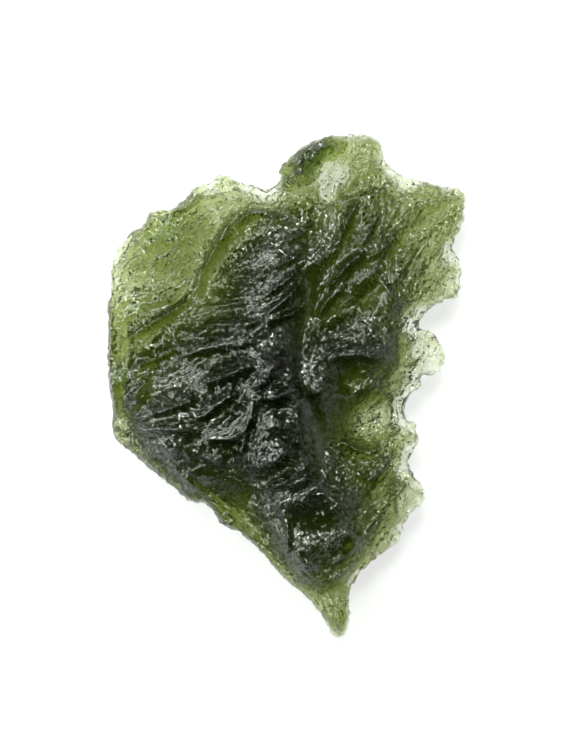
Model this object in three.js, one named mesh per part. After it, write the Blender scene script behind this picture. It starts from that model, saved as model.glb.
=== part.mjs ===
// Moldavite: one leaf-shaped piece of natural green glass, thick along its crest, thin at its scalloped
// rim, fluted and pitted all over. Millimetres, +Z up, +Y towards the knob and away from the pointed tip.
// It lies on its belly, on a small flat spot, with its crested face up.

import * as THREE from "three";

// Driving dimensions
const PLATE = 1.05; // thickness of the thin plate along the rim
const EDGE_ROUND = 0.8; // how far in from the rim the edge is rounded
const BODY_REACH = 1.9; // how far in from the rim the swells of the body fade out
const LEAST = 0.5; // thinnest glass under a flute or a scoop
const RIM_HEIGHT = 1.9; // mean height of the rim above the surface it rests on
const RIM_WARP = 0.5; // how far the sides curl up and the ends bend down
const BELLY_CURVE = 1.25; // above 1 the belly is rounder between the flat spot and the rim
const BELLY_RELIEF = 0.4; // depth of the waves on the belly
const FACE_FACET = 0.42; // facet size on the crested face
const BELLY_FACET = 0.55; // facet size on the belly
const REST = { at: [-1.5, 0.3], reach: [3.6, 4.2] }; // the flat spot
const REST_WANDER = 0.3; // how far the edge of the flat spot strays, in shares of its reach
const HUB = [0.2, 0.4]; // where the rings of facets close

// The rim, anticlockwise from above
const OUTLINE = [
  // notch beside the knob
  [-0.4, 13.5], [-0.2, 13.0], [-0.6, 12.7], [-0.9, 12.5], [-1.1, 12.0],
  // upper left plate, with its worn scallops
  [-1.6, 12.5], [-2.3, 12.7], [-2.8, 12.8], [-3.5, 13.2], [-4.1, 13.4], [-4.5, 13.2], [-4.8, 12.8],
  [-6.0, 12.5], [-6.0, 12.2], [-6.3, 11.8], [-6.8, 11.5], [-7.2, 11.1], [-8.1, 11.1], [-8.7, 10.8],
  [-8.8, 10.3], [-9.2, 9.9], [-9.8, 9.7], [-10.1, 9.2], [-10.8, 8.1], [-10.9, 7.5], [-10.9, 5.9],
  [-11.2, 5.0], [-11.1, 4.4], [-11.1, 3.5],
  // left side
  [-11.1, 2.4], [-11.2, 1.5], [-11.1, 1.0], [-11.1, 0.1], [-10.9, -0.8], [-10.8, -1.8], [-10.8, -3.0],
  // long bevelled side towards the tip
  [-10.5, -3.5], [-9.7, -4.0], [-8.8, -4.9], [-8.1, -5.4], [-6.7, -6.6], [-5.7, -7.3], [-5.2, -7.2],
  [-4.4, -8.0], [-4.2, -8.4], [-3.6, -8.9], [-3.2, -8.9], [-1.9, -10.0], [-0.9, -11.1], [0.2, -12.3],
  [0.8, -12.8], [1.5, -13.4], [2.4, -14.6],
  // pointed tip
  [3.0, -15.7], [3.3, -15.9], [3.7, -15.7], [3.9, -15.2], [4.0, -14.0], [4.0, -12.8],
  // right side, deeply scalloped
  [4.7, -11.6], [5.2, -11.1], [5.7, -10.9], [6.2, -10.4], [7.1, -9.7], [7.3, -9.2], [7.6, -8.2],
  [7.9, -7.8], [8.5, -7.5], [8.7, -7.0], [8.6, -6.3], [7.7, -5.2], [7.7, -4.5], [8.2, -3.8], [8.4, -3.3],
  [8.1, -2.8], [8.3, -2.5], [7.5, -2.0], [7.2, -1.4], [7.6, -0.5], [8.3, -0.2], [8.5, 0.0], [8.3, 0.6],
  [8.5, 0.9],
  // round lobe
  [9.3, 0.8], [9.7, 1.0], [10.0, 1.8], [9.8, 2.5], [9.5, 3.1], [8.9, 3.5], [8.2, 3.7], [7.9, 4.0],
  // upper right wing
  [8.5, 4.3], [8.8, 4.7], [9.0, 5.1], [9.6, 5.4], [10.5, 5.4], [10.8, 5.8], [11.0, 6.8], [10.8, 8.0],
  [10.4, 8.7], [10.8, 9.7], [11.1, 10.2], [11.2, 11.1], [11.3, 11.9], [11.2, 12.3], [10.8, 12.5],
  [10.2, 12.5], [9.1, 12.8], [8.3, 13.0], [7.7, 13.0], [7.3, 13.3], [6.7, 13.6],
  // knob
  [6.1, 14.5], [6.1, 15.1], [5.9, 15.5], [5.3, 15.8], [4.3, 15.9], [3.2, 15.8], [2.5, 15.8], [1.7, 15.5],
  [0.8, 14.9], [0.2, 14.3], [-0.3, 13.8],
];

// Swells that thicken the plate into the body: centre, reach along and across, turn in degrees, rise
const SWELLS = [
  { at: [-3.6, -0.6], reach: [8.8, 8.8], turn: 0, rise: 4.1 }, // main body
  { at: [-0.5, 1.8], reach: [4.4, 11.0], turn: 8, rise: 2.2 }, // crest
  { at: [-5.9, -3.8], reach: [7.4, 4.2], turn: -39, rise: 1.4 }, // shoulder over the bevelled side
  { at: [0.4, -5.2], reach: [4.4, 5.6], turn: 10, rise: 2.2 }, // crest down to the cup
  { at: [1.7, -9.0], reach: [4.8, 4.8], turn: 0, rise: 3.7 }, // mass around the cup
  { at: [0.9, -11.8], reach: [2.6, 2.4], turn: 0, rise: 0.5 }, // neck of the tip
  { at: [-0.6, 7.6], reach: [4.6, 5.2], turn: 0, rise: 2.5 }, // upper end of the crest
  { at: [4.6, 5.6], reach: [5.6, 5.6], turn: 30, rise: 2.6 }, // right flank
  { at: [3.7, 10.2], reach: [5.6, 4.2], turn: 20, rise: 1.5 }, // below the knob
  { at: [3.6, 0.6], reach: [4.4, 4.4], turn: 0, rise: 2.6 }, // right middle
  { at: [4.6, -5.4], reach: [4.6, 5.0], turn: 0, rise: 1.8 }, // lower right flank
  { at: [1.4, 14.5], reach: [2.6, 1.4], turn: 35, rise: 1.1 }, // lip of the knob
];

// Flutes and ribs of the crested face: path, half width, and depth, which is negative for a rib
const FLUTES = [
  // valley beside the crest
  {
    path: [[0.9, 8.6], [1.4, 5.5], [1.0, 2.6], [1.0, 0.2], [2.0, -3.2], [2.3, -6.4]],
    half: 0.9,
    depth: 0.6,
  },
  // sweeping flutes of the body
  { path: [[-6.7, 2.2], [-3.8, 3.0], [-0.9, 3.7]], half: 0.6, depth: -0.28 },
  { path: [[-5.4, 1.6], [-3.2, 2.3], [-0.6, 2.9]], half: 0.55, depth: 0.34 },
  { path: [[-5.4, -0.2], [-3.2, 0.7], [-0.3, 1.8]], half: 0.6, depth: -0.28 },
  { path: [[-5.1, -0.8], [-3.2, -0.1], [-1.4, 0.9]], half: 0.5, depth: 0.34 },
  { path: [[-5.3, -2.6], [-4.3, -1.6], [-3.1, -0.8]], half: 0.6, depth: 0.44 },
  { path: [[-4.0, -2.9], [-2.7, -1.7], [-2.1, -0.5]], half: 0.6, depth: -0.3 },
  { path: [[-3.4, -5.2], [-2.7, -3.8], [-2.1, -2.3]], half: 0.55, depth: 0.44 },
  { path: [[-2.0, -1.7], [-0.8, -1.2], [0.3, -1.9]], half: 0.65, depth: 0.4 },
  { path: [[-2.3, -4.4], [-1.2, -2.9], [-0.2, -2.0]], half: 0.6, depth: -0.28 },
  { path: [[-1.6, -5.2], [0.2, -4.3], [1.6, -3.4]], half: 0.5, depth: 0.34 },
  { path: [[-2.4, -6.7], [-0.9, -5.7], [1.0, -4.7]], half: 0.5, depth: 0.3 },
  { path: [[0.1, -2.6], [0.7, -1.4], [0.7, -0.2]], half: 0.5, depth: -0.24 },
  // ripples under the arched hollow
  { path: [[-3.9, 6.6], [-2.6, 6.8], [-0.9, 6.6]], half: 0.42, depth: 0.24 },
  { path: [[-5.2, 5.6], [-3.7, 5.8], [-2.0, 5.9], [0.0, 6.2]], half: 0.4, depth: 0.24 },
  { path: [[-6.1, 4.2], [-3.5, 4.8], [0.2, 5.0]], half: 0.45, depth: 0.24 },
  // diagonals that cross the left side
  { path: [[-10.4, 3.7], [-8.5, 4.7], [-6.3, 5.9], [-5.0, 7.2]], half: 0.45, depth: 0.24 },
  { path: [[-10.2, 2.9], [-8.5, 3.8], [-6.4, 5.0]], half: 0.45, depth: -0.24 },
  { path: [[-9.4, 2.4], [-8.0, 3.3], [-6.6, 4.1]], half: 0.5, depth: 0.28 },
  { path: [[-10.3, -0.5], [-8.8, 0.7], [-7.4, 2.0]], half: 0.6, depth: 0.4 },
  { path: [[-10.0, -2.2], [-8.6, -1.2], [-7.2, 0.2]], half: 0.5, depth: 0.28 },
  // brow that parts the plate from the body
  { path: [[-6.2, 5.4], [-4.6, 7.7], [-3.5, 9.8], [-1.6, 10.8]], half: 0.55, depth: -0.34 },
  // fan of flutes on the right
  { path: [[1.7, 3.1], [3.1, 4.3], [4.7, 5.3], [6.6, 7.3]], half: 0.5, depth: 0.34 },
  { path: [[2.4, 5.6], [3.7, 7.1], [5.3, 8.6]], half: 0.5, depth: -0.28 },
  { path: [[1.7, 5.8], [2.7, 7.5], [4.0, 9.5], [4.8, 11.4]], half: 0.5, depth: 0.3 },
  { path: [[5.6, 5.2], [6.2, 7.6], [7.7, 9.5], [9.8, 11.0]], half: 0.55, depth: 0.3 },
  { path: [[6.7, 5.2], [7.6, 7.2], [9.4, 8.9]], half: 0.45, depth: 0.24 },
  { path: [[2.0, 2.1], [4.3, 2.2], [6.7, 2.7]], half: 0.7, depth: -0.28 },
  { path: [[6.0, 0.2], [7.2, 0.9], [8.2, 1.0]], half: 0.45, depth: 0.28 },
  { path: [[7.4, 3.6], [7.9, 2.6], [7.7, 1.4]], half: 0.45, depth: 0.24 },
  { path: [[2.9, -4.0], [4.3, -4.2], [5.9, -3.9], [7.6, -2.7]], half: 0.5, depth: 0.3 },
  { path: [[3.6, -8.6], [5.2, -7.1], [6.5, -5.3], [7.2, -4.0]], half: 0.5, depth: 0.3 },
  { path: [[4.3, -10.0], [5.9, -7.8], [7.1, -5.9]], half: 0.45, depth: -0.24 },
  // ledge below the upper left scallops
  { path: [[-8.5, 10.8], [-7.0, 11.1], [-5.1, 12.0]], half: 0.6, depth: 0.3 },
  // twisted rib over the tip
  { path: [[2.5, -11.8], [3.6, -11.2], [4.6, -10.6]], half: 0.5, depth: -0.4 },
];

// Scoops of the crested face: centre, reach along and across, turn in degrees, depth
const SCOOPS = [
  { at: [2.8, 13.2], reach: [1.7, 1.5], turn: 35, depth: 1.2 }, // dish of the knob
  { at: [1.7, -8.2], reach: [2.6, 1.9], turn: 10, depth: 1.1 }, // cup above the tip
  { at: [3.7, -10.0], reach: [1.1, 1.4], turn: 0, depth: 0.8 }, // pocket beside the cup
  { at: [-2.2, 9.2], reach: [1.4, 1.9], turn: -25, depth: 0.8 }, // arched hollow
  { at: [4.9, 5.4], reach: [1.1, 1.3], turn: 0, depth: 0.8 }, // upper window
  { at: [3.8, 0.3], reach: [1.4, 1.3], turn: 0, depth: 0.9 }, // lower window
  { at: [-5.1, -5.4], reach: [2.2, 1.3], turn: -39, depth: 0.6 }, // hollow above the bevel
];

const clampUnit = (t) => Math.min(1, Math.max(0, t));
const smooth = (t) => clampUnit(t) ** 2 * (3 - 2 * clampUnit(t));

// Coordinates of x, y in an ellipse, in which its edge is at distance 1
function ellipseDistance(x, y, { at, reach, turn = 0 }) {
  const a = THREE.MathUtils.degToRad(turn);
  const dx = x - at[0];
  const dy = y - at[1];
  const along = (dx * Math.cos(a) + dy * Math.sin(a)) / reach[0];
  const across = (dy * Math.cos(a) - dx * Math.sin(a)) / reach[1];
  return Math.hypot(along, across);
}

// A dome of height 1 over an ellipse, level at its centre and at its edge
function dome(x, y, ellipse) {
  const q = ellipseDistance(x, y, ellipse);
  return q < 1 ? (1 - q * q) ** 2 : 0;
}

// Distance from x, y to a chain of points, and how far along the chain the nearest point is, from 0 to 1
function nearestOnChain(x, y, chain) {
  let best = Infinity;
  let share = 0;
  for (let i = 0; i + 1 < chain.length; i += 1) {
    const [ax, ay] = chain[i];
    const [bx, by] = chain[i + 1];
    const t = clampUnit(((x - ax) * (bx - ax) + (y - ay) * (by - ay)) / ((bx - ax) ** 2 + (by - ay) ** 2));
    const d = Math.hypot(x - ax - t * (bx - ax), y - ay - t * (by - ay));
    if (d < best) {
      best = d;
      share = (i + t) / (chain.length - 1);
    }
  }
  return { distance: best, share };
}

// A smooth chain through a few points
function chainThrough(points, steps, closed = false) {
  const corners = points.map(([x, y]) => new THREE.Vector3(x, y, 0));
  const curve = new THREE.CatmullRomCurve3(corners, closed, "centripetal");
  return curve.getSpacedPoints(steps).map((p) => [p.x, p.y]);
}

// How much of a flute's depth is cut at x, y: all of it along the middle of its path, none at its ends
// and sides
const FLUTE_STEPS = 14;
const FLUTE_CHAINS = FLUTES.map(({ path }) => chainThrough(path, FLUTE_STEPS));
function fluteCut(x, y, index) {
  const { distance, share } = nearestOnChain(x, y, FLUTE_CHAINS[index]);
  const q = distance / FLUTES[index].half;
  if (q >= 1) return 0;
  const taper = Math.sqrt(Math.sin(Math.PI * share));
  return (1 - q * q) ** 2 * taper;
}

// Smooth waves without a repeat, from -1 to 1
const HASH = { i: 127.1, j: 311.7, stretch: 43758.5453 }; // mixes the lattice's indices
function lattice(i, j) {
  const s = Math.sin(i * HASH.i + j * HASH.j) * HASH.stretch;
  return 2 * (s - Math.floor(s)) - 1;
}
function waves(x, y) {
  const i = Math.floor(x);
  const j = Math.floor(y);
  const u = smooth(x - i);
  const v = smooth(y - j);
  const low = THREE.MathUtils.lerp(lattice(i, j), lattice(i + 1, j), u);
  const high = THREE.MathUtils.lerp(lattice(i, j + 1), lattice(i + 1, j + 1), u);
  return THREE.MathUtils.lerp(low, high, v);
}

// Height of the rim's middle, carried inwards
const HALF_WIDTH = 11;
const HALF_LENGTH = 16;
function rimHeight(x, y) {
  return RIM_HEIGHT + RIM_WARP * ((x / HALF_WIDTH) ** 2 - (y / HALF_LENGTH) ** 2);
}

// Share of the edge's rounding that is complete at a distance from the rim
function edgeShare(inset) {
  const t = 1 - Math.min(inset / EDGE_ROUND, 1);
  return Math.sqrt(1 - t * t);
}

// Height of the belly: nil on the flat spot, rising in long waves to the rim
const WAVE_LENGTH = 2.6;
const WAVE_WIDTH = 1.3;
const WAVE_TURN = Math.PI / 5;
const WANDER_LENGTH = 2.4;
const TINY = 1e-9;
function bellyHeight(x, y, inset) {
  const stray = REST_WANDER * waves(x / WANDER_LENGTH, y / WANDER_LENGTH);
  const outside = Math.max(0, ellipseDistance(x, y, REST) - 1 - stray) * Math.min(...REST.reach);
  const climb = (outside / (outside + inset + TINY)) ** BELLY_CURVE;
  const along = (x * Math.cos(WAVE_TURN) + y * Math.sin(WAVE_TURN)) / WAVE_LENGTH;
  const across = (y * Math.cos(WAVE_TURN) - x * Math.sin(WAVE_TURN)) / WAVE_WIDTH;
  const relief = BELLY_RELIEF * Math.abs(waves(along, across)) * smooth(outside) * smooth(inset);
  return Math.max(0, climb * rimHeight(x, y) - (edgeShare(inset) * PLATE * smooth(outside)) / 2 + relief);
}

// Height of the crested face: the belly, the plate and its swells, less the flutes and scoops
function faceHeight(x, y, inset) {
  const edge = edgeShare(inset);
  const body = smooth(inset / BODY_REACH);
  let glass = PLATE;
  SWELLS.forEach((s) => (glass += s.rise * dome(x, y, s) * body));
  FLUTES.forEach((f, i) => (glass -= f.depth * fluteCut(x, y, i) * smooth(inset)));
  SCOOPS.forEach((s) => (glass -= s.depth * dome(x, y, s)));
  return bellyHeight(x, y, inset) + edge * Math.max(glass, LEAST);
}

// Rings of points from the rim in to the hub, as plan positions, with the triangles between them.
// The rim ring has rimCount points, and the rings inside it are spaced by the facet size.
const RING_SPACING = Math.sqrt(3) / 2; // of even triangles, in facet sizes
const LEAST_RING = 6; // points
function ringMesh(rim, rimCount, facet) {
  const meanRadius = Math.sqrt(THREE.ShapeUtils.area(rim.getSpacedPoints(rimCount)) / Math.PI);
  const ringCount = Math.round(meanRadius / (facet * RING_SPACING));
  const points = [];
  const rings = [];
  for (let k = 0; k < ringCount; k += 1) {
    const scale = 1 - k / ringCount;
    const around = Math.round((2 * Math.PI * meanRadius * scale) / facet);
    const count = k === 0 ? rimCount : Math.max(LEAST_RING, around);
    const ring = [];
    for (let i = 0; i < count; i += 1) {
      const p = rim.getPointAt(i / count);
      ring.push(points.length);
      points.push([HUB[0] + scale * (p.x - HUB[0]), HUB[1] + scale * (p.y - HUB[1])]);
    }
    rings.push(ring);
  }
  rings.push([points.length]);
  points.push([...HUB]);
  return { points, triangles: rings.slice(1).flatMap((inner, k) => stitch(rings[k], inner)) };
}

// Triangles between an outer ring and the ring inside it, which may have fewer points
function stitch(outer, inner) {
  const triangles = [];
  let i = 0;
  let j = 0;
  const innerSteps = inner.length === 1 ? 0 : inner.length;
  while (i < outer.length || j < innerSteps) {
    const a = outer[i % outer.length];
    const b = inner[j % inner.length];
    if (j === innerSteps || (i < outer.length && (i + 1) / outer.length <= (j + 1) / innerSteps)) {
      triangles.push([a, outer[(i + 1) % outer.length], b]);
      i += 1;
    } else {
      triangles.push([a, inner[(j + 1) % inner.length], b]);
      j += 1;
    }
  }
  return triangles;
}

// Moves every point inside the rim towards the middle of its neighbours, so that the facets are even
const RELAX_ROUNDS = 30;
function relax({ points, triangles }, rimCount) {
  const neighbours = points.map(() => new Set());
  triangles.forEach((t) => t.forEach((v, k) => neighbours[v].add(t[(k + 1) % 3]).add(t[(k + 2) % 3])));
  for (let round = 0; round < RELAX_ROUNDS; round += 1) {
    for (let v = rimCount; v < points.length; v += 1) {
      const around = [...neighbours[v]].map((n) => points[n]);
      points[v] = [0, 1].map((axis) => around.reduce((sum, p) => sum + p[axis], 0) / around.length);
    }
  }
}

// One side of the stone as a flat list of triangle corners
function side(rim, rimCount, facet, heightAt, upwards) {
  const mesh = ringMesh(rim, rimCount, facet);
  relax(mesh, rimCount);
  const rimChain = mesh.points.slice(0, rimCount).concat([mesh.points[0]]);
  const corners = mesh.points.map(([x, y], v) => {
    const inset = v < rimCount ? 0 : nearestOnChain(x, y, rimChain).distance;
    return [x, y, heightAt(x, y, inset)];
  });
  return mesh.triangles.flatMap(([a, b, c]) => (upwards ? [a, b, c] : [a, c, b])).flatMap((v) => corners[v]);
}

function stoneGeometry() {
  const corners = OUTLINE.map(([x, y]) => new THREE.Vector3(x, y, 0));
  const rim = new THREE.CatmullRomCurve3(corners, true, "centripetal");
  rim.arcLengthDivisions = 4 * OUTLINE.length;
  const rimCount = Math.round(rim.getLength() / FACE_FACET);
  const positions = [
    ...side(rim, rimCount, FACE_FACET, faceHeight, true),
    ...side(rim, rimCount, BELLY_FACET, bellyHeight, false),
  ];
  const geometry = new THREE.BufferGeometry();
  geometry.setAttribute("position", new THREE.Float32BufferAttribute(positions, 3));
  geometry.computeBoundingBox();
  const middle = geometry.boundingBox.getCenter(new THREE.Vector3());
  geometry.translate(-middle.x, -middle.y, 0);
  geometry.computeVertexNormals();
  return geometry;
}

const glass = new THREE.MeshStandardMaterial({ color: 0x4c5f25, roughness: 0.25, metalness: 0 });
const stone = new THREE.Mesh(stoneGeometry(), glass);
stone.name = "moldavite";

const part = new THREE.Group();
part.add(stone);

export default part;
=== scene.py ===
# Moldavite: one leaf of natural green glass, etched all over, lying on a plain white table.
# The tables in this file are in millimetres, seen from above: x to the right, y towards the knob.
import math

import bmesh
import bpy
import numpy as np
from mathutils.bvhtree import BVHTree
from mathutils.kdtree import KDTree
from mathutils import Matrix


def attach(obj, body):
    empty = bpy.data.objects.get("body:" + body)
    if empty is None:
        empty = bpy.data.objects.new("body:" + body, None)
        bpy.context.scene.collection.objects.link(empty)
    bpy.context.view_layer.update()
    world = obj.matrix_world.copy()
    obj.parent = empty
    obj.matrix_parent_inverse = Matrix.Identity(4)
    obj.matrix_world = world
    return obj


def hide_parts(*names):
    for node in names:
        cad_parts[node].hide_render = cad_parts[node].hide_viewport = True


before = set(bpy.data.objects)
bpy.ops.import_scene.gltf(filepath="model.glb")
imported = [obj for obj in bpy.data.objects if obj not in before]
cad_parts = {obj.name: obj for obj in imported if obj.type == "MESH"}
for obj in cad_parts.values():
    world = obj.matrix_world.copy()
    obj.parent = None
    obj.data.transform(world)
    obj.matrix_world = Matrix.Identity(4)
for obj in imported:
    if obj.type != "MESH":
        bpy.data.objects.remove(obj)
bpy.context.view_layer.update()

MM = 0.001

# Fineness of the stone's mesh
FACE_CUTS = 4  # new points along each edge of the solid's crested face
BELLY_CUTS = 2  # and of its belly
MERGE = 0.001  # points closer than this are one
SMOOTH_ROUNDS = 14
SMOOTH_IN = 0.5  # share of the way to the middle of a point's neighbours
SMOOTH_OUT = -0.52  # and back, so that the stone doesn't shrink

# How the etching runs: x, y, direction in degrees, and the width and depth of its scoops
GUIDES = [
    (-8.5, 9.0, 30, 0.5, 0.4), (-6.0, 11.8, 25, 0.45, 0.5), (-9.6, 6.5, 35, 0.5, 0.34),
    (-8.5, 4.6, 31, 0.5, 0.2), (-5.0, 6.9, 57, 0.6, 0.25), (-3.2, 11.2, 40, 0.55, 0.35),
    (-6.4, 8.2, 45, 0.5, 0.38), (-10.6, 8.4, 50, 0.45, 0.42), (-3.8, 12.4, 20, 0.45, 0.5),
    (-10.0, 0.8, 40, 0.6, 0.2), (-4.0, 3.6, 12, 0.6, 0.13), (-2.6, 1.6, 18, 0.65, 0.14),
    (-7.4, 1.4, 28, 0.6, 0.16), (-2.4, 6.2, 4, 0.5, 0.14), (-1.6, 9.2, 60, 0.5, 0.14),
    (-4.3, -1.6, 38, 0.7, 0.14), (-2.8, -3.6, 64, 0.75, 0.15), (-7.4, -2.6, 30, 0.6, 0.16),
    (-5.4, -5.0, 25, 0.55, 0.12), (0.2, -4.3, 29, 0.65, 0.14), (0.2, -6.2, 27, 0.55, 0.14),
    (-0.4, -1.4, 48, 0.75, 0.14), (1.6, 5.2, 69, 0.6, 0.14), (3.8, 7.2, 45, 0.55, 0.2),
    (3.4, 10.0, 64, 0.5, 0.25), (6.2, 6.2, -60, 0.55, 0.2), (8.6, 10.6, 36, 0.45, 0.4),
    (7.6, 8.6, 48, 0.45, 0.35), (5.6, 11.4, 60, 0.45, 0.35), (10.2, 8.0, 60, 0.45, 0.4),
    (4.2, 2.3, 8, 0.55, 0.2), (4.2, 0.0, 70, 0.6, 0.12), (6.8, 0.4, 20, 0.5, 0.35),
    (4.8, -2.4, 20, 0.5, 0.28), (5.6, -5.0, 52, 0.5, 0.28), (7.2, -7.6, 60, 0.45, 0.32),
    (1.6, -8.2, 15, 0.9, 0.05), (3.6, -11.2, 27, 0.5, 0.25), (3.2, -14.2, 108, 0.4, 0.35),
    (0.4, -11.0, -45, 0.5, 0.2), (-7.6, -5.0, -41, 0.5, 0.25), (-2.6, -8.6, -41, 0.5, 0.25),
    (1.2, 14.5, 38, 0.5, 0.6), (4.8, 14.4, 80, 0.5, 0.25), (8.8, 2.2, 60, 0.5, 0.3),
]
GUIDE_BLUR = 0.6  # within this distance a guide's weight hardly changes
GUIDE_POWER = 3  # and further out it falls with this power of the distance

# Three sizes of scoops: share of the guides' width, length in widths, share of the guides' depth
SCOOP_SIZES = [(1.5, 2.8, 0.7), (0.75, 2.4, 0.7), (0.4, 2.0, 0.6)]
SCOOP_TRIES = 16000
SCOOP_GAP = 0.8  # least distance between two scoops, in half sizes
SCOOP_LIP = 0.25  # height of a scoop's lip, in shares of its depth
SCOOP_REACH = 1.6  # how far a scoop is cut, in half lengths
SCOOP_WIDTHS = (0.8, 1.25)  # least and greatest share of the usual width
SCOOP_DEPTHS = (0.5, 1.3)  # and of the usual depth
SCOOP_TURN = 0.12  # how much the directions vary, in radians
SCOOP_SEED = 11

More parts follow.
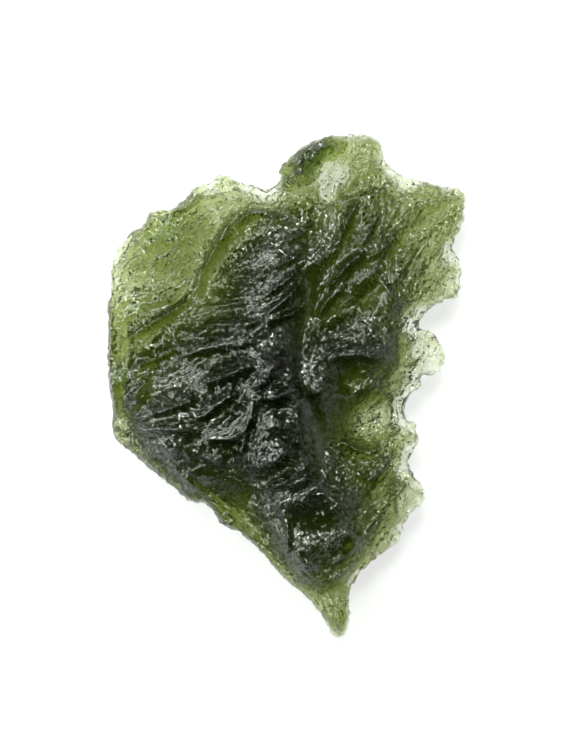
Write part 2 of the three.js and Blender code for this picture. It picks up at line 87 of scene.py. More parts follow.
# Folds with a sharp crest: height, width of the slope on the left of the path, width on its right, path
FOLDS = [
    # sweeping folds of the body
    (0.34, 1.3, 0.65, [(-6.7, 1.8), (-5.4, 2.2), (-4.3, 2.4), (-3.0, 2.5), (-1.8, 2.8)]),
    (0.28, 0.9, 0.5, [(-5.1, 0.2), (-3.8, 0.6), (-2.9, 1.0), (-2.0, 1.4)]),
    (0.4, 0.9, 0.8, [(-1.9, -0.3), (-1.3, 0.5), (-0.7, 1.3), (-0.2, 2.2)]),
    (0.3, 0.8, 0.6, [(-1.3, -0.8), (-0.2, -0.5), (0.8, 0.3)]),
    (0.35, 0.7, 0.7, [(-5.2, -2.0), (-4.2, -1.1), (-3.0, -0.3)]),
    (0.35, 1.3, 0.5, [(-4.9, -3.2), (-3.5, -3.2), (-2.7, -2.8), (-2.2, -2.0), (-2.0, -0.8)]),
    (0.25, 0.9, 0.4, [(-5.1, -4.3), (-4.3, -4.5), (-3.4, -4.0)]),
    (0.35, 0.5, 0.7, [(-3.4, -5.0), (-2.8, -3.9), (-2.2, -2.6)]),
    (0.4, 1.6, 0.6, [(-2.3, -5.3), (-1.5, -4.8), (-0.5, -4.5), (0.2, -3.8)]),
    (0.3, 0.35, 0.35, [(0.7, -3.8), (0.7, -2.4), (0.5, -1.2)]),
    (0.3, 0.6, 0.6, [(-2.0, -6.5), (-0.7, -6.1), (0.6, -5.3)]),
    (0.3, 1.0, 0.6, [(-0.1, -6.2), (1.0, -5.7), (2.0, -5.5)]),
    # left side
    (0.25, 0.4, 0.5, [(-10.4, 2.6), (-9.5, 3.2), (-8.4, 3.9), (-7.0, 4.7), (-6.0, 5.4)]),
    (0.22, 0.8, 0.5, [(-9.2, 1.3), (-7.9, 1.8), (-6.3, 2.6)]),
    (0.26, 1.2, 0.5, [(-8.5, -1.8), (-7.0, -1.3), (-5.4, -0.7)]),
    (0.26, 0.8, 0.6, [(-9.5, -2.8), (-7.6, -2.6), (-5.7, -2.8)]),
    (0.25, 0.5, 0.5, [(-7.6, -4.1), (-6.5, -3.8), (-5.7, -4.5)]),
    # ledge and brow of the upper left plate
    (0.25, 0.5, 0.35, [(-8.7, 11.0), (-7.6, 10.9), (-6.3, 11.1), (-5.2, 11.7), (-3.8, 12.2), (-2.9, 12.2)]),
    (0.4, 0.6, 0.9, [(-5.9, 5.7), (-5.2, 7.2), (-4.5, 8.5), (-3.8, 9.7), (-3.0, 10.8)]),
    # ripples below the arched hollow
    (0.35, 0.4, 0.6, [(-3.2, 10.0), (-2.3, 10.7), (-1.4, 10.7), (-0.5, 10.2)]),
    (0.25, 0.5, 0.4, [(-4.2, 7.4), (-3.3, 6.8), (-2.3, 6.8), (-1.3, 6.6)]),
    (0.15, 0.35, 0.3, [(-3.8, 6.5), (-2.9, 6.3), (-2.0, 6.4)]),
    (0.25, 0.5, 0.4, [(-4.8, 6.0), (-4.0, 5.7), (-3.0, 5.7), (-2.3, 6.1)]),
    (0.2, 0.4, 0.4, [(-5.1, 4.9), (-3.8, 5.0), (-2.3, 5.2)]),
    (0.3, 0.6, 0.5, [(-6.8, 3.5), (-5.4, 3.2), (-4.5, 3.8), (-2.5, 3.8), (-1.3, 4.2)]),
    (0.3, 0.5, 0.5, [(-1.3, 4.3), (-0.1, 5.3), (0.8, 6.2)]),
    (0.25, 0.4, 0.5, [(-1.3, 4.0), (-0.1, 4.3), (1.0, 4.7)]),
    (0.25, 0.4, 0.4, [(-1.2, 5.7), (-0.1, 6.4), (0.8, 7.3)]),
    (0.25, 0.4, 0.4, [(-0.7, 7.3), (0.3, 7.8), (1.2, 8.8)]),
    (0.22, 0.4, 0.4, [(-0.4, 8.8), (0.8, 9.3), (1.6, 10.3)]),
    # fan on the right
    (0.3, 0.5, 0.5, [(2.6, 6.0), (3.7, 7.4), (4.9, 8.4)]),
    (0.25, 0.5, 0.4, [(2.0, 4.3), (2.7, 5.4), (3.7, 6.3)]),
    (0.15, 0.8, 0.5, [(2.2, 3.2), (3.3, 3.7), (4.1, 4.7), (4.5, 5.3)]),
    (0.25, 0.5, 0.5, [(2.8, 7.8), (3.3, 9.2), (4.0, 10.7), (4.5, 11.3)]),
    (0.2, 0.5, 0.4, [(4.6, 8.5), (5.3, 9.9), (5.7, 10.7)]),
    (0.2, 0.4, 0.4, [(4.9, 7.8), (6.2, 8.7), (6.8, 9.5)]),
    (0.12, 0.5, 0.5, [(5.3, 7.3), (6.0, 6.3), (6.8, 4.8)]),
    (0.2, 0.4, 0.4, [(8.7, 7.8), (9.6, 8.8), (10.3, 10.1)]),
    (0.45, 2.6, 0.9, [(2.3, 1.4), (3.1, 1.8), (4.3, 1.9), (5.7, 1.8), (7.0, 1.9)]),
    (0.2, 0.7, 0.4, [(1.2, -0.5), (2.0, -0.3), (2.8, 0.4)]),
    (0.3, 0.8, 0.4, [(3.2, -3.3), (4.1, -3.8), (5.3, -4.1), (5.7, -3.3)]),
    (0.25, 0.8, 0.3, [(4.1, -5.3), (5.1, -5.7), (5.8, -5.2)]),
    (0.2, 0.25, 0.25, [(6.0, -6.6), (7.1, -4.7)]),
    # lip of the knob
    (0.1, 0.4, 0.5, [(0.2, 13.9), (0.8, 14.4), (1.6, 14.8), (2.4, 15.0)]),
    (0.15, 0.3, 0.3, [(0.6, 13.0), (1.0, 13.8), (1.3, 14.6)]),
    (0.15, 0.3, 0.3, [(1.5, 13.9), (1.9, 14.6), (2.0, 15.3)]),
    (0.12, 0.3, 0.3, [(3.0, 14.3), (3.6, 14.9), (3.4, 15.5)]),
    # shoulder over the bevelled side, and the end of the body over the tip
    (0.2, 2.0, 1.6, [(-9.8, -2.6), (-7.6, -4.4), (-5.3, -6.4), (-3.2, -8.1), (-1.2, -10.0), (0.3, -11.4)]),
    (0.2, 1.6, 1.2, [(0.4, -11.7), (1.6, -12.2), (2.9, -12.4), (3.9, -12.2)]),
    # around the cup and the tip
    (0.35, 0.4, 0.4, [(2.7, -12.1), (3.7, -11.3), (4.5, -10.8)]),
    (0.3, 0.3, 0.3, [(2.7, -11.0), (3.7, -10.3), (4.1, -10.1)]),
    (0.25, 0.3, 0.3, [(-0.2, -7.6), (0.1, -9.0), (-0.1, -10.8)]),
    (0.2, 0.25, 0.25, [(4.7, -9.6), (5.3, -8.7), (6.2, -8.0)]),
]
FOLD_STEPS = 24  # points along a path
END_GAP = 1e-9  # keeps the last of them inside the path's last stretch
FOLD_BOLDNESS = 3.1  # the heights above are multiplied by this
LEFT_CURVE = 1.25  # above 1 a slope flattens away from the crest
RIGHT_CURVE = 2.0

# Hollows, or bosses where the depth is negative: x, y, half length, half width, direction, depth
HOLLOWS = [
    (0.2, 13.4, 0.5, 0.45, 0, 0.7),
    (1.4, 14.3, 2.9, 1.5, 38, -1.45),
    (1.8, -11.4, 0.7, 0.6, 0, 0.2),
    (0.8, -12.1, 0.6, 0.5, 0, -0.2),
    (-5.1, -6.9, 0.3, 0.3, 0, 0.12),
    (-3.7, -8.2, 0.35, 0.35, 0, 0.12),
    (0.5, -8.6, 0.25, 0.25, 0, 0.12),
    (3.7, -9.9, 1.4, 1.3, 0, -0.8),
    (3.7, -9.8, 0.5, 0.45, 60, 0.6),
    (5.2, 10.4, 2.2, 1.8, 60, -0.5),
    (9.0, 11.0, 2.6, 2.0, 36, -0.8),
    (7.0, 8.0, 2.2, 1.8, 50, -0.6),
    (-7.3, 9.0, 3.4, 2.6, 40, -0.9),
    (-8.6, 5.0, 2.4, 1.5, 30, -0.7),
    (-9.7, 0.2, 2.4, 1.5, 70, -0.9),
    (-5.4, -5.7, 1.4, 1.0, 30, -0.4),
    (-10.3, 8.6, 1.3, 0.6, 60, 0.35),
    (-10.7, 6.4, 1.3, 0.5, 90, 0.3),
    (7.0, -9.2, 1.1, 0.8, 50, 0.4),
    (3.4, -14.2, 1.8, 1.3, 108, -0.9),
    (0.8, -11.0, 1.3, 1.1, 0, -0.3),
    (4.9, -2.1, 2.0, 1.6, 80, 1.3),
    (5.2, 14.5, 1.6, 1.3, 90, -0.4),
    (-11.4, 1.5, 4.5, 1.6, 88, -1.2),
    (-5.0, -7.8, 7.0, 1.2, -41, -0.7),
]

# Dishes with a level floor: x, y, half length, half width, direction, glass left under the floor
DISHES = [
    (3.0, 13.3, 1.35, 1.1, 20, 0.5),
    (2.7, 12.6, 1.5, 0.8, 80, 0.5),
    (8.9, 2.2, 1.5, 1.5, 0, 0.45),
    (7.7, -7.2, 1.5, 1.1, 60, 0.8),
    (-4.2, 12.6, 2.2, 0.8, 15, 0.85),
    (-7.6, 11.1, 1.2, 0.5, 25, 0.9),
    (10.2, 6.4, 1.4, 0.8, 90, 0.8),
]
DISH_WALL = 3.0  # mm gained from the floor's middle to the dish's edge
DISH_CURVE = 4.0  # above 1 the wall gets steeper towards the edge

# Where the glass is smooth enough to look into: x, y, half length, half width, direction, smoothness
WINDOWS = [
    (-9.5, 5.1, 1.1, 0.8, 30, 0.8), (-7.0, 5.2, 1.4, 0.5, 15, 0.7),
    (3.9, 0.3, 1.2, 0.9, 90, 0.9), (5.2, 5.4, 1.2, 0.8, 90, 0.7), (1.5, -8.2, 1.5, 1.1, 15, 0.5),
    (-5.4, -5.7, 1.1, 0.7, 30, 0.5), (1.5, 6.0, 2.6, 0.8, 75, 0.7), (0.9, 1.5, 3.2, 0.7, 92, 0.7),
    (1.9, -3.0, 2.2, 0.5, 110, 0.6), (1.5, 14.4, 2.4, 0.9, 38, 0.35),
]
WINDOW_FADE = (1.6, 0.3)  # squared distance, 1 at the edge, where a window starts and where it is smoothest

# Fine etching, made by nodes on the surface
ETCHING = {
    "Streak pitch": 0.5,
    "Streak length": 2.2,
    "Streak depth": 0.03,
    "Pit pitch": 0.9,
    "Pit depth": 0.05,
    "Grain pitch": 0.22,
    "Grain depth": 0.09,
    "Ragged pitch": 0.5,
    "Ragged depth": 0.6,
}
STREAK_TAPS = 4  # samples on each side of a point that its streak is the mean of
STREAK_GAIN = 8.0  # how much that mean is stretched
PIT_SHARE = 3.2  # a pit's radius is the pitch over this
ETCH_SEED = 4.0
MIDDLE = 0.5  # middle value of a noise

# The rim: the solid's round edge becomes a thin wedge, cut by chips
EDGE = 0.8  # how far in the solid's edge is rounded
EDGE_DROP = 0.5  # how far the rounding lifts the belly at the solid's rim
LEAST_ROUNDING = 0.2  # the rim's thickness is divided by the rounding, but by no less than this
BLUNT_WEDGE = 0.15  # how far in the glass thins out where the rim is blunt
THIN_WEDGE = 0.25  # and where it is worn thin
WEDGE_CURVE = 0.6  # below 1 the wedge is round-backed
WORN = (-3.0, 5.0)  # the rim is blunt below the first and worn thin above the second value of x + y / 2
CHIP_COUNT = 150
CHIP_RADIUS = (0.35, 1.1)
CHIP_FLOOR = 0.2  # glass left in the middle of a chip
CHIP_RISE = 0.8  # how much thicker it is at the chip's edge

# The knob's crumpled lip: x, y, half length, half width, direction
LIP = (1.5, 14.4, 2.8, 1.2, 38)
LIP_CRUMPLE = 2.3  # how ragged the lip is, with the rim at 1
LIP_FADE = (1.2, 0.6)  # squared distance, 1 at the edge, where the crumpling starts and where it is full
LIP_WEAR = (0.8, 1.2)  # and where the rim starts to be worn, and is worn as elsewhere

# How the relief and the etching share the stone
RELIEF_START = (0.0, 0.3)  # distance in from the rim where the relief starts and where it is full
SPOT_START = (0.1, 1.2)  # the same out from the resting spot, for the belly's dents and etching
LEAST_GLASS = 0.35  # share of the thickness that the relief leaves
BELLY_DENTS = 0.6  # depth of the belly's scoops, in shares of the face's
BELLY_ETCH = 2.2  # depth of the belly's fine etching, in shares of the face's
DENT_LIMIT = 0.3  # share of the thickness that a dent takes at most
THICK_GLASS = 1.5  # from here on the belly's etching has its full depth
RIM_FROST = 0.85  # frost at the rim, in shares of the frost further in
BELLY_FROST = 0.65
BODY_CALM = 0.35  # how much calmer the grain of the thick body is
BODY_GLASS = (1.5, 3.0)  # thickness from plate to body

# Satin of the glass: tiny facets and waves that tilt its surface
FACET_PITCH = 0.11
FACET_TILT = 1.1
WAVE_PITCH = 0.2
WAVE_TILT = 0.5
WINDOW_GRAIN = 0.2  # share of the tilt where the glass is quite smooth
ROUGHNESS = 0.2

# The glass itself
SURFACE_TINT = (0.96, 0.98, 0.92, 1)
GLASS_IOR = 1.5
ABSORPTION = (0.585, 0.642, 0.275, 1)
DENSITY = 2300.0  # per metre

# The table, lit from within like a light box
TABLE_SIZE = 2000.0
TABLE_GAP = 0.005
PAPER = (0.22, 0.22, 0.22, 1)
PAPER_ROUGHNESS = 0.8
PAPER_SHINE = 0.1
PAPER_GLOW = 0.7
WHITE = (1, 1, 1, 1)

# Softboxes: name, width, depth, azimuth, elevation, radiance
# Azimuth 0 is towards the knob, and 90 is to the right.
SOFTBOXES = [
    ("key", 150, 130, 352, 46, 6.8),
    ("glint", 40, 40, 5, 54, 32.0),
    ("left fill", 170, 140, 275, 33, 8.5),
    ("right fill", 130, 90, 85, 30, 1.5),
]
BOX_DISTANCE = 150
LIGHT_COLOUR = (0.91, 1.0, 0.89)
TENT_HEIGHTS = (0.1, 0.45)  # sine of the elevation where the tent starts to darken, and where it is darkest
TENT_LIGHT = (0.3, 0.02)  # its strength there
LIGHT_BOUNCES = 16

# The camera looks straight down; the picture's scale holds at the rim's height
LENS = 120.0
SENSOR = 36.0
NEAREST_SIGHT = 1.0
PIXELS_PER_MM = 16
PICTURE_HEIGHT = 750  # pixels
OFF_CENTRE = (-5, 11.5)  # pixels from the stone's middle to the picture's
FRAME_HEIGHT = PICTURE_HEIGHT / PIXELS_PER_MM
RIM_LEVEL = 1.9


def spread(points, count):
    """A smooth chain of points, evenly spread, through a few points."""
    p = np.array(points, float)
    p = np.vstack([2 * p[0] - p[1], p, 2 * p[-1] - p[-2]])
    t = np.linspace(0, len(points) - 1 - END_GAP, count)
    i = t.astype(int)
    u = (t - i)[:, None]
    a, b, c, d = p[i], p[i + 1], p[i + 2], p[i + 3]
    square = 2 * a - 5 * b + 4 * c - d
    cube = 3 * b - a - 3 * c + d
    return 0.5 * (2 * b + (c - a) * u + square * u ** 2 + cube * u ** 3)


def fade(low, high, value):
    """0 up to low, 1 from high on, smooth between."""
    t = np.clip((value - low) / (high - low), 0, 1)
    return t * t * (3 - 2 * t)


def placed(name, data):
    """A new object in the scene."""
    obj = bpy.data.objects.new(name, data)
    bpy.context.scene.collection.objects.link(obj)
    return obj


def stone_mesh():
    """A finer mesh of the solid's own shape, and which of its points are on the face and on the rim."""
    bm = bmesh.new()
    bm.from_mesh(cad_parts["moldavite"].data)
    bmesh.ops.remove_doubles(bm, verts=bm.verts[:], dist=MERGE * MM)
    on_face = [e for e in bm.edges if any(f.normal.z > 0 for f in e.link_faces)]
    under = [e for e in bm.edges if all(f.normal.z <= 0 for f in e.link_faces)]
    bmesh.ops.subdivide_edges(bm, edges=on_face, cuts=FACE_CUTS, use_grid_fill=True)
    bmesh.ops.subdivide_edges(bm, edges=under, cuts=BELLY_CUTS, use_grid_fill=True)
    bmesh.ops.triangulate(bm, faces=bm.faces[:])
    bm.normal_update()
    up = np.array([any(f.normal.z > 0 for f in v.link_faces) for v in bm.verts])
    down = np.array([any(f.normal.z <= 0 for f in v.link_faces) for v in bm.verts])
    mesh = bpy.data.meshes.new("rough_stone")
    bm.to_mesh(mesh)
    bm.free()
    return mesh, up, up & down


def read_points(mesh):
    flat = np.empty(3 * len(mesh.vertices))
    mesh.vertices.foreach_get("co", flat)
    return flat.reshape(-1, 3) / MM


def write_points(mesh, points):
    mesh.vertices.foreach_set("co", (points * MM).ravel())
    mesh.update()


def smoothed(mesh, points):
    """The points with the solid's facets rounded off, without shrinking."""
    edges = np.empty(2 * len(mesh.edges), int)
    mesh.edges.foreach_get("vertices", edges)
    a, b = edges.reshape(-1, 2).T
    count = np.bincount(np.r_[a, b], minlength=len(points))
    for _ in range(SMOOTH_ROUNDS):
        for share in (SMOOTH_IN, SMOOTH_OUT):
            mean = np.stack([np.bincount(np.r_[a, b], np.r_[points[b, k], points[a, k]], len(points))
                             for k in range(3)], 1) / count[:, None]
            points = points + share * (mean - points)
    return points


def gap_to(points, targets):
    """Distance in plan from each point to the nearest target."""
    tree = KDTree(len(targets))
    for i, (x, y) in enumerate(targets):
        tree.insert((x, y, 0), i)
    tree.balance()
    return np.array([tree.find((x, y, 0))[2] for x, y in points])


def guided(xy):
    """Direction, scoop width and scoop depth at places in plan."""
    guides = np.array(GUIDES)
    squared = ((xy[:, None, :] - guides[None, :, :2]) ** 2).sum(2) + GUIDE_BLUR ** 2
    weight = squared ** (-GUIDE_POWER / 2)
    weight /= weight.sum(1, keepdims=True)
    twice = np.radians(2 * guides[:, 2])
    angle = np.arctan2(weight @ np.sin(twice), weight @ np.cos(twice)) / 2
    return angle, weight @ guides[:, 3], weight @ guides[:, 4]


def along_chain(xy, chain, reach):
    """Points near a chain, their distance to it, positive on its left, and how far along it they are."""
    inside = np.all((xy > chain.min(0) - reach) & (xy < chain.max(0) + reach), axis=1)
    picked = np.flatnonzero(inside)
    best = np.full(len(picked), np.inf)
    side = np.ones(len(picked))
    share = np.zeros(len(picked))
    for k in range(len(chain) - 1):
        a, step = chain[k], chain[k + 1] - chain[k]
        d = xy[picked] - a
        t = np.clip(d @ step / (step @ step), 0, 1)
        gap = np.hypot(*(d - t[:, None] * step).T)
        closer = gap < best
        best[closer] = gap[closer]
        side[closer] = np.sign(step[0] * d[closer, 1] - step[1] * d[closer, 0])
        share[closer] = (k + t[closer]) / (len(chain) - 1)
    return picked, best * side, share


def fold_heights(xy):
    """Height of the folds: a nearly straight slope on the left of each crest, a hollow one on its right."""
    height = np.zeros(len(xy))
    for rise, left, right, path in FOLDS:
        picked, offset, share = along_chain(xy, spread(path, FOLD_STEPS), max(left, right))
        left_slope = np.clip(1 - offset / left, 0, 1) ** LEFT_CURVE
        right_slope = np.clip(1 + offset / right, 0, 1) ** RIGHT_CURVE
        ends = np.sqrt(np.sin(np.pi * share).clip(0))
        height[picked] += FOLD_BOLDNESS * rise * ends * np.where(offset > 0, left_slope, right_slope)
    return height


def ellipse_gaps(xy, x, y, half_length, half_width, direction):
    """Squared distance from an ellipse's centre, 1 at its edge."""
    c, s = math.cos(math.radians(direction)), math.sin(math.radians(direction))
    d = xy - (x, y)
    return (d @ (c, s) / half_length) ** 2 + (d @ (-s, c) / half_width) ** 2


def hollow_heights(xy):
    """Height of the bosses, below 0 in the hollows."""
    height = np.zeros(len(xy))
    for *ellipse, depth in HOLLOWS:
        height -= depth * (1 - ellipse_gaps(xy, *ellipse)).clip(0)
    return height


def dished(xy, thickness):
    """The thickness with the dishes cut out of it."""
    left = thickness.copy()
    for *ellipse, floor in DISHES:
        gap = ellipse_gaps(xy, *ellipse)
        left = np.where(gap < 1, np.minimum(left, floor + DISH_WALL * gap ** DISH_CURVE), left)
    return left


def frosting(xy):
    """How frosted the surface is: 1 nearly everywhere, less in the windows."""
    frost = np.ones(len(xy))
    for *ellipse, smoothness in WINDOWS:
        frost *= 1 - smoothness * fade(*WINDOW_FADE, ellipse_gaps(xy, *ellipse))
    return frost


def scoop_places(low, high, size, rng):
    """Places for scoops that overlap a little, with their direction, half length, half width and depth."""
    width_share, stretch, depth_share = size
    tries = rng.uniform(low, high, (SCOOP_TRIES, 2))
    angle, width, depth = guided(tries)
    width = width * width_share * rng.uniform(*SCOOP_WIDTHS, SCOOP_TRIES)
    depth = depth * depth_share * rng.uniform(*SCOOP_DEPTHS, SCOOP_TRIES)
    angle = angle + rng.normal(0, SCOOP_TURN, SCOOP_TRIES)
    along = np.stack([np.cos(angle), np.sin(angle)], 1)
    kept = np.zeros(SCOOP_TRIES, int)
    count = 0
    for i in range(SCOOP_TRIES):
        d = tries[i] - tries[kept[:count]]
        u = d @ along[i] / (width[i] * stretch)
        v = (d[:, 1] * along[i, 0] - d[:, 0] * along[i, 1]) / width[i]
        if count == 0 or (u * u + v * v).min() > SCOOP_GAP ** 2:
            kept[count] = i
            count += 1
    kept = kept[:count]
    return tries[kept], along[kept], width[kept] * stretch, width[kept], depth[kept]


def scoop_heights(xy, size, rng):
    """Height of natural scoops that overlap like thumb marks, long in the etching's direction."""
    order = np.argsort(xy[:, 0])
    sorted_x = xy[order, 0]
    height = np.full(len(xy), np.inf)
    for centre, along, length, width, depth in zip(*scoop_places(xy.min(0), xy.max(0), size, rng)):
        reach = SCOOP_REACH * length
        first, last = np.searchsorted(sorted_x, (centre[0] - reach, centre[0] + reach))
        picked = order[first:last]
        picked = picked[np.abs(xy[picked, 1] - centre[1]) < reach]
        d = xy[picked] - centre
        u = d @ along / length
        v = (d[:, 1] * along[0] - d[:, 0] * along[1]) / width
        bowl = depth * (u * u + v * v - 1)
        height[picked] = np.minimum(height[picked], np.minimum(bowl, SCOOP_LIP * depth))
    height[~np.isfinite(height)] = 0
    return height


def scooped(xy, depth, rng):
    """Height of the scoops of all sizes, raised so that they add about as much glass as they take."""
    return depth + sum(scoop_heights(xy, size, rng) for size in SCOOP_SIZES)


def add(tree, kind, **settings):
    node = tree.nodes.new(kind)
    for name, value in settings.items():
        setattr(node, name, value)
    return node


def feed(tree, socket, value):
    """Joins a socket to another, or sets its value."""
    if isinstance(value, bpy.types.NodeSocket):
        tree.links.new(value, socket)
    else:
        socket.default_value = value


def maths(tree, operation, *values):
    node = add(tree, "ShaderNodeMath", operation=operation)
    for socket, value in zip(node.inputs, values):
        feed(tree, socket, value)
    return node.outputs[0]


def vectors(tree, operation, *values):
    node = add(tree, "ShaderNodeVectorMath", operation=operation)
    for socket, value in zip(node.inputs, values):
        feed(tree, socket, value)
    return node.outputs[0]


def scaled(tree, vector, factor):
    node = add(tree, "ShaderNodeVectorMath", operation="SCALE")
    feed(tree, node.inputs[0], vector)
    feed(tree, node.inputs["Scale"], factor)
    return node.outputs[0]


def noise(tree, place, pitch, seed, output="Fac"):
    node = add(tree, "ShaderNodeTexNoise", noise_dimensions="4D")
    feed(tree, node.inputs["Vector"], place)
    feed(tree, node.inputs["Scale"], maths(tree, "DIVIDE", 1.0, pitch))
    feed(tree, node.inputs["W"], seed)
    return node.outputs[output]


def cells(tree, place, pitch, seed):
    node = add(tree, "ShaderNodeTexVoronoi", voronoi_dimensions="4D")
    feed(tree, node.inputs["Vector"], place)
    feed(tree, node.inputs["Scale"], maths(tree, "DIVIDE", 1.0, pitch))
    feed(tree, node.inputs["W"], seed)
    return node.outputs["Distance"]


def named(tree, name, kind):
    """A value that is kept at the mesh's points."""
    node = add(tree, "GeometryNodeInputNamedAttribute", data_type=kind)
    node.inputs["Name"].default_value = name
    return node.outputs[0]


def etching_tree():
    """Moves the surface by streaks along the etching, round pits and grain, and makes the rim ragged."""
    tree = bpy.data.node_groups.new("natural_etching", "GeometryNodeTree")
    face = tree.interface
    face.new_socket("Geometry", in_out="INPUT", socket_type="NodeSocketGeometry")
    for name in (*ETCHING, "Seed"):
        face.new_socket(name, in_out="INPUT", socket_type="NodeSocketFloat")
    face.new_socket("Glass", in_out="INPUT", socket_type="NodeSocketMaterial")
    face.new_socket("Geometry", in_out="OUTPUT", socket_type="NodeSocketGeometry")
    given = add(tree, "NodeGroupInput").outputs
    place = add(tree, "GeometryNodeInputPosition").outputs[0]
    normal = add(tree, "GeometryNodeInputNormal").outputs[0]
    flow = named(tree, "flow", "FLOAT_VECTOR")
    etch = named(tree, "etch", "FLOAT")
    rim = named(tree, "rim", "FLOAT")

    total = 0.0
    for k in range(-STREAK_TAPS, STREAK_TAPS + 1):
        reach = maths(tree, "MULTIPLY", given["Streak length"], k / (2 * STREAK_TAPS))
        spot = vectors(tree, "ADD", place, scaled(tree, flow, reach))
        total = maths(tree, "ADD", noise(tree, spot, given["Streak pitch"], given["Seed"]), total)
    mean = maths(tree, "DIVIDE", total, 2 * STREAK_TAPS + 1)
    swing = maths(tree, "MULTIPLY", maths(tree, "SUBTRACT", mean, MIDDLE), STREAK_GAIN)
    crest = maths(tree, "MINIMUM", maths(tree, "ABSOLUTE", swing), 1.0)
    streaks = maths(tree, "MULTIPLY", crest, given["Streak depth"])
    far = maths(tree, "MULTIPLY", cells(tree, place, given["Pit pitch"], given["Seed"]), PIT_SHARE)
    bowl = maths(tree, "MAXIMUM", maths(tree, "SUBTRACT", 1.0, far), 0.0)
    pits = maths(tree, "MULTIPLY", maths(tree, "SQRT", bowl), given["Pit depth"])
    rough = maths(tree, "SUBTRACT", noise(tree, place, given["Grain pitch"], given["Seed"]), MIDDLE)
    grain = maths(tree, "MULTIPLY", rough, given["Grain depth"])
    height = maths(tree, "SUBTRACT", grain, maths(tree, "ADD", streaks, pits))
    etching = scaled(tree, normal, maths(tree, "MULTIPLY", height, etch))
    jumble = noise(tree, place, given["Ragged pitch"], given["Seed"], "Color")
    way = vectors(tree, "SUBTRACT", jumble, (MIDDLE, MIDDLE, MIDDLE))
    ragged = scaled(tree, way, maths(tree, "MULTIPLY", rim, given["Ragged depth"]))
    offset = vectors(tree, "ADD", etching, ragged)

    move = add(tree, "GeometryNodeSetPosition")
    feed(tree, move.inputs["Geometry"], given["Geometry"])
    feed(tree, move.inputs["Offset"], offset)
    whole = add(tree, "GeometryNodeRealizeInstances")
    feed(tree, whole.inputs["Geometry"], move.outputs[0])
    paint = add(tree, "GeometryNodeSetMaterial")
    feed(tree, paint.inputs["Geometry"], whole.outputs[0])
    feed(tree, paint.inputs["Material"], given["Glass"])
    feed(tree, add(tree, "NodeGroupOutput").inputs[0], paint.outputs[0])
    return tree


def etched(obj, glass):
    """The object's mesh after the etching, as a plain mesh."""
    modifier = obj.modifiers.new("etching", "NODES")
    modifier.node_group = etching_tree()
    values = {name: size * MM for name, size in ETCHING.items()}
    values["Seed"] = ETCH_SEED
    values["Glass"] = glass
    for item in modifier.node_group.interface.items_tree:
        if item.in_out == "INPUT" and item.name in values:
            modifier[item.identifier] = values[item.name]
    whole = obj.evaluated_get(bpy.context.evaluated_depsgraph_get())
    mesh = bpy.data.meshes.new_from_object(whole)
    obj.modifiers.remove(modifier)
    return mesh


def green_glass():
    """See-through moss green glass, coloured by absorption, with a satin of tiny facets and waves."""
    glass = bpy.data.materials.new("moss_glass")
    glass.use_nodes = True
    tree = glass.node_tree
    tree.nodes.clear()
    shader = add(tree, "ShaderNodeBsdfPrincipled")
    shader.inputs["Base Color"].default_value = SURFACE_TINT
    shader.inputs["Transmission Weight"].default_value = 1.0
    shader.inputs["IOR"].default_value = GLASS_IOR
    shader.inputs["Roughness"].default_value = ROUGHNESS
    place = add(tree, "ShaderNodeTexCoord").outputs["Object"]
    frost = add(tree, "ShaderNodeAttribute", attribute_name="frost").outputs["Fac"]
    facets = add(tree, "ShaderNodeTexVoronoi")
    feed(tree, facets.inputs["Vector"], place)
    facets.inputs["Scale"].default_value = 1 / (FACET_PITCH * MM)
    waves = add(tree, "ShaderNodeTexNoise")
    feed(tree, waves.inputs["Vector"], place)
    waves.inputs["Scale"].default_value = 1 / (WAVE_PITCH * MM)
    waves.inputs["Detail"].default_value = 0.0
    middle = (MIDDLE, MIDDLE, MIDDLE)
    facet_tilt = scaled(tree, vectors(tree, "SUBTRACT", facets.outputs["Color"], middle), FACET_TILT)
    wave_tilt = scaled(tree, vectors(tree, "SUBTRACT", waves.outputs["Color"], middle), WAVE_TILT)
    share = maths(tree, "MULTIPLY_ADD", frost, 1 - WINDOW_GRAIN, WINDOW_GRAIN)
    tilt = scaled(tree, vectors(tree, "ADD", facet_tilt, wave_tilt), share)
    normal = add(tree, "ShaderNodeNewGeometry").outputs["Normal"]
    feed(tree, shader.inputs["Normal"], vectors(tree, "NORMALIZE", vectors(tree, "ADD", normal, tilt)))
    inside = add(tree, "ShaderNodeVolumeAbsorption")
    inside.inputs["Color"].default_value = ABSORPTION
    inside.inputs["Density"].default_value = DENSITY
    out = add(tree, "ShaderNodeOutputMaterial")
    feed(tree, out.inputs["Surface"], shader.outputs[0])
    feed(tree, out.inputs["Volume"], inside.outputs[0])
    return glass


def glass_under(mesh, points, up):
    """Thickness of the stone along the vertical through each point."""
    triangles = np.empty(3 * len(mesh.polygons), int)
    mesh.polygons.foreach_get("vertices", triangles)
    tree = BVHTree.FromPolygons(points.tolist(), triangles.reshape(-1, 3).tolist())
    thickness = np.zeros(len(points))
    for i, (point, top) in enumerate(zip(points, up)):
        way = -1.0 if top else 1.0
        _, _, _, far = tree.ray_cast(point + (0, 0, way * MERGE), (0, 0, way))
        thickness[i] = far or 0.0
    return thickness


def wear(xy):
    """How worn the rim is near a place: not at all on the left and on the knob's lip, most on the right."""
    return fade(*WORN, xy[:, 0] + xy[:, 1] / 2) * fade(*LIP_WEAR, ellipse_gaps(xy, *LIP))


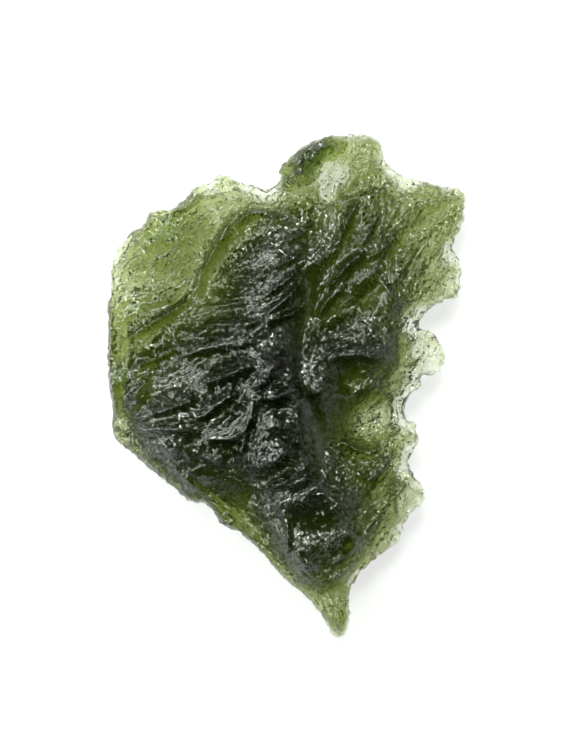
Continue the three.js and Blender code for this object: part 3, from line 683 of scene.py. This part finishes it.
def chipped(xy, rim_xy, thickness, rng):
    """The thickness with round chips broken out of the rim."""
    left = thickness.copy()
    places = rim_xy[rng.integers(0, len(rim_xy), CHIP_COUNT)]
    for x, y in places[rng.random(CHIP_COUNT) < wear(places)]:
        radius = rng.uniform(*CHIP_RADIUS)
        gap = ((xy - (x, y)) ** 2).sum(1) / radius ** 2
        inside = gap < 1
        left[inside] = np.minimum(left[inside], CHIP_FLOOR + CHIP_RISE * gap[inside])
    return left


def carved_stone():
    """The stone with its relief, and at its points what the etching and the glass need to know."""
    mesh, up, on_rim = stone_mesh()
    points = read_points(mesh)
    resting = points[:, 2] < MERGE
    points = smoothed(mesh, points)
    points[resting, 2] = 0
    xy = points[:, :2]
    rng = np.random.default_rng(SCOOP_SEED)

    # a thin rim in place of the solid's round edge
    inset = gap_to(xy, xy[on_rim])
    rounding = np.sqrt(1 - (1 - np.clip(inset / EDGE, 0, 1)) ** 2)
    thickness = np.where(on_rim, 0.0, glass_under(mesh, points, up))
    belly = points[:, 2] - np.where(up, thickness, 0.0) - EDGE_DROP * (1 - rounding)
    wedge = BLUNT_WEDGE + (THIN_WEDGE - BLUNT_WEDGE) * wear(xy)
    thickness = thickness / np.maximum(rounding, LEAST_ROUNDING)
    thickness = thickness * np.clip(inset / wedge, 0, 1) ** WEDGE_CURVE
    thickness = chipped(xy, xy[on_rim], thickness, rng)

    # relief of the face, then dents of the belly
    inner = fade(*RELIEF_START, inset)
    off_spot = fade(*SPOT_START, gap_to(xy, xy[resting]))
    angle, _, depth = guided(xy)
    frosted = frosting(xy)
    scoops = frosted * scooped(xy, depth, rng)
    carved = dished(xy, thickness + (fold_heights(xy) + hollow_heights(xy)) * inner)
    carved = np.maximum(carved + scoops * inner, LEAST_GLASS * np.minimum(thickness, carved))
    dents = np.minimum(-BELLY_DENTS * scooped(xy, depth, rng), DENT_LIMIT * carved) * off_spot * inner
    points[:, 2] = (belly + np.where(up, carved, dents)).clip(0)
    write_points(mesh, points)

    # what the etching and the glass need to know
    flow = np.stack([np.cos(angle), np.sin(angle), np.zeros(len(xy))], 1)
    etch = np.where(up, frosted, BELLY_ETCH * off_spot * np.clip(carved / THICK_GLASS, 0, 1))
    rim = 1 - fade(0.0, EDGE, inset)
    frost = np.where(up, frosted * (1 - BODY_CALM * fade(*BODY_GLASS, carved)), BELLY_FROST)
    frost = frost * (1 - (1 - RIM_FROST) * rim)
    rim = rim + LIP_CRUMPLE * fade(*LIP_FADE, ellipse_gaps(xy, *LIP)) * (1 - rim)
    mesh.attributes.new("flow", "FLOAT_VECTOR", "POINT").data.foreach_set("vector", flow.ravel())
    for name, values in (("etch", etch), ("rim", rim), ("frost", frost)):
        mesh.attributes.new(name, "FLOAT", "POINT").data.foreach_set("value", values)
    return mesh


def etched_stone():
    """The finished stone, cut level where it rests on the table."""
    rough_stone = placed("rough_stone", carved_stone())
    mesh = etched(rough_stone, green_glass())
    bpy.data.objects.remove(rough_stone)
    mesh.name = "etched_stone"
    points = read_points(mesh)
    points[:, 2] = points[:, 2].clip(0)
    write_points(mesh, points)
    mesh.shade_smooth()
    return placed("etched_stone", mesh)


def white_table():
    mesh = bpy.data.meshes.new("white_table")
    half = TABLE_SIZE * MM / 2
    corners = [(-half, -half, 0), (half, -half, 0), (half, half, 0), (-half, half, 0)]
    mesh.from_pydata(corners, [], [(0, 1, 2, 3)])
    paper = bpy.data.materials.new("white_paper")
    paper.use_nodes = True
    shader = paper.node_tree.nodes["Principled BSDF"]
    shader.inputs["Base Color"].default_value = PAPER
    shader.inputs["Roughness"].default_value = PAPER_ROUGHNESS
    shader.inputs["Specular IOR Level"].default_value = PAPER_SHINE
    shader.inputs["Emission Color"].default_value = WHITE
    shader.inputs["Emission Strength"].default_value = PAPER_GLOW
    mesh.materials.append(paper)
    table = placed("white_table", mesh)
    table.location.z = -TABLE_GAP * MM
    return table


def softbox(name, width, depth, azimuth, elevation, radiance):
    """A rectangle of light that faces the stone."""
    light = bpy.data.lights.new(name, "AREA")
    light.shape = "RECTANGLE"
    light.size = width * MM
    light.size_y = depth * MM
    light.color = LIGHT_COLOUR
    light.energy = radiance * math.pi * width * depth * MM ** 2
    a, e = math.radians(azimuth), math.radians(elevation)
    far = BOX_DISTANCE * MM
    box = placed(name, light)
    box.location = (far * math.sin(a) * math.cos(e), far * math.cos(a) * math.cos(e), far * math.sin(e))
    box.rotation_euler = box.location.to_track_quat("Z", "Y").to_euler()


def light_tent():
    """Pale light all round, with a dark opening overhead."""
    world = bpy.data.worlds.new("light_tent")
    bpy.context.scene.world = world
    world.use_nodes = True
    tree = world.node_tree
    tree.nodes.clear()
    up = add(tree, "ShaderNodeSeparateXYZ")
    feed(tree, up.inputs[0], add(tree, "ShaderNodeTexCoord").outputs["Generated"])
    ramp = add(tree, "ShaderNodeMapRange", interpolation_type="SMOOTHSTEP")
    feed(tree, ramp.inputs["Value"], up.outputs["Z"])
    ramp.inputs["From Min"].default_value = TENT_HEIGHTS[0]
    ramp.inputs["From Max"].default_value = TENT_HEIGHTS[1]
    ramp.inputs["To Min"].default_value = TENT_LIGHT[0]
    ramp.inputs["To Max"].default_value = TENT_LIGHT[1]
    sky = add(tree, "ShaderNodeBackground")
    sky.inputs["Color"].default_value = WHITE
    feed(tree, sky.inputs["Strength"], ramp.outputs[0])
    feed(tree, add(tree, "ShaderNodeOutputWorld").inputs["Surface"], sky.outputs[0])


def camera():
    data = bpy.data.cameras.new("camera")
    data.lens = LENS
    data.sensor_width = SENSOR
    data.sensor_height = SENSOR
    data.clip_start = NEAREST_SIGHT * MM
    eye = placed("camera", data)
    x, y = (pixels / PIXELS_PER_MM for pixels in OFF_CENTRE)
    eye.location = (x * MM, y * MM, (RIM_LEVEL + FRAME_HEIGHT * LENS / SENSOR) * MM)
    bpy.context.scene.camera = eye


stone = etched_stone()
table = white_table()
light_tent()
for box in SOFTBOXES:
    softbox(*box)
camera()

scene = bpy.context.scene
scene.view_settings.view_transform = "Standard"
scene.view_settings.exposure = 0.0
scene.cycles.max_bounces = LIGHT_BOUNCES
scene.cycles.transmission_bounces = LIGHT_BOUNCES
scene.cycles.use_denoising = True

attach(stone, "root")
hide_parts("moldavite")
